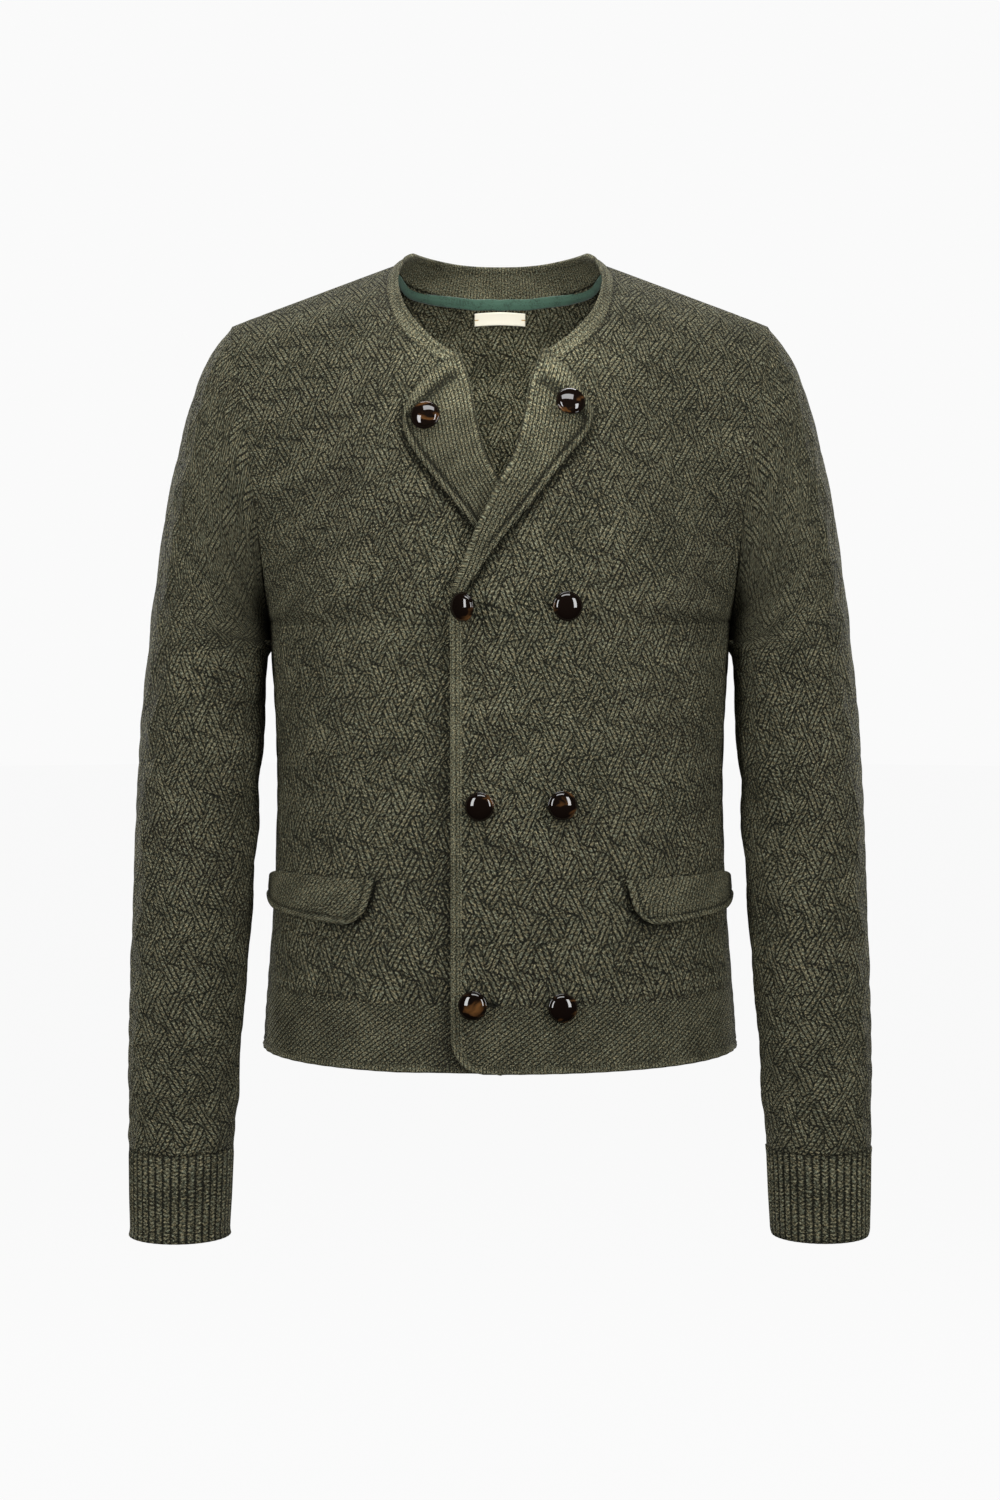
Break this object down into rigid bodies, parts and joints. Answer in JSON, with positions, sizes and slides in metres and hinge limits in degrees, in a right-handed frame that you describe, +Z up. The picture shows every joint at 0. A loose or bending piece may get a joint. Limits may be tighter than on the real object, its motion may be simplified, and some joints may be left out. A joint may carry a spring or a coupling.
{
  "type": "double-breasted knitted cardigan",
  "caption": "Worn hollow double-breasted cardigan in woven-cable knit with small turned-back lapels, set-in long sleeves, ribbed cuffs and pocket flaps.",
  "frame": {"origin": "middle of the neck, level with the shoulder ridge beside it, where the wearer's shoulders carry the garment", "axes": "+Z up; the fronts face -Y; the wearer's left is +X"},
  "size_m": [0.5737, 0.255, 0.7655],
  "materials": {
    "cable_knit": "matte, olive grey heather wool, woven-cable knit",
    "fine_knit": "matte, olive grey heather wool, fine knit",
    "velvet": "soft pile, sea green velvet",
    "label": "matte, cream woven",
    "horn": "polished, dark horn look"
  },
  "bodies": {
    "root": {"front_left": "cable_knit", "front_right": "cable_knit", "back": "cable_knit", "sleeve_left": "cable_knit", "sleeve_right": "cable_knit", "cuff_left": "fine_knit", "cuff_right": "fine_knit", "neck_band": "fine_knit", "lapel_left": "fine_knit", "lapel_right": "fine_knit", "pocket_flap_left": "fine_knit", "pocket_flap_right": "fine_knit", "neck_tape": "velvet", "label": "label", "button_lapel_right": "horn", "button_lapel_left": "horn", "button_top_right": "horn", "button_top_left": "horn", "button_middle_right": "horn", "button_middle_left": "horn", "button_bottom_right": "horn", "button_bottom_left": "horn"}
  },
  "joints": []
}
